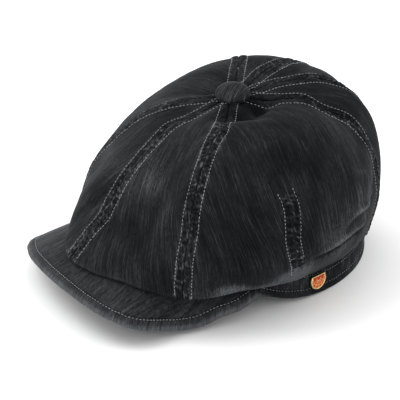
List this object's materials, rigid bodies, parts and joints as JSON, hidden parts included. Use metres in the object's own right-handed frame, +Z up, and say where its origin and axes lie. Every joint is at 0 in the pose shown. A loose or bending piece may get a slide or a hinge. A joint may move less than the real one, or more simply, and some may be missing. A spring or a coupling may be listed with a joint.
{
  "type": "canvas cap",
  "caption": "Soft panelled canvas cap with a slack gathered crown, a head band, a curved peak, a covered top button and a small enamelled badge.",
  "frame": {"origin": "centre of the bounding box on the surface that the cap rests on", "axes": "+Z up, -Y the way the peak points, +X the wearer's left"},
  "size_m": [0.2046, 0.2482, 0.1288],
  "materials": {
    "crown_canvas": "washed charcoal striped canvas",
    "band_canvas": "washed charcoal canvas",
    "peak_canvas": "washed charcoal striped canvas",
    "button_canvas": "washed grey canvas",
    "badge_metal": "polished gilt",
    "badge_enamel": "glossy enamel"
  },
  "bodies": {
    "root": {"panel_front_left": "crown_canvas", "panel_side_left": "crown_canvas", "panel_back_left": "crown_canvas", "panel_back_centre": "crown_canvas", "panel_back_right": "crown_canvas", "panel_side_right": "crown_canvas", "panel_front_right": "crown_canvas", "band": "band_canvas", "peak": "peak_canvas", "crown_button": "button_canvas", "badge_rim": "badge_metal", "badge_enamel": "badge_enamel"}
  },
  "joints": []
}
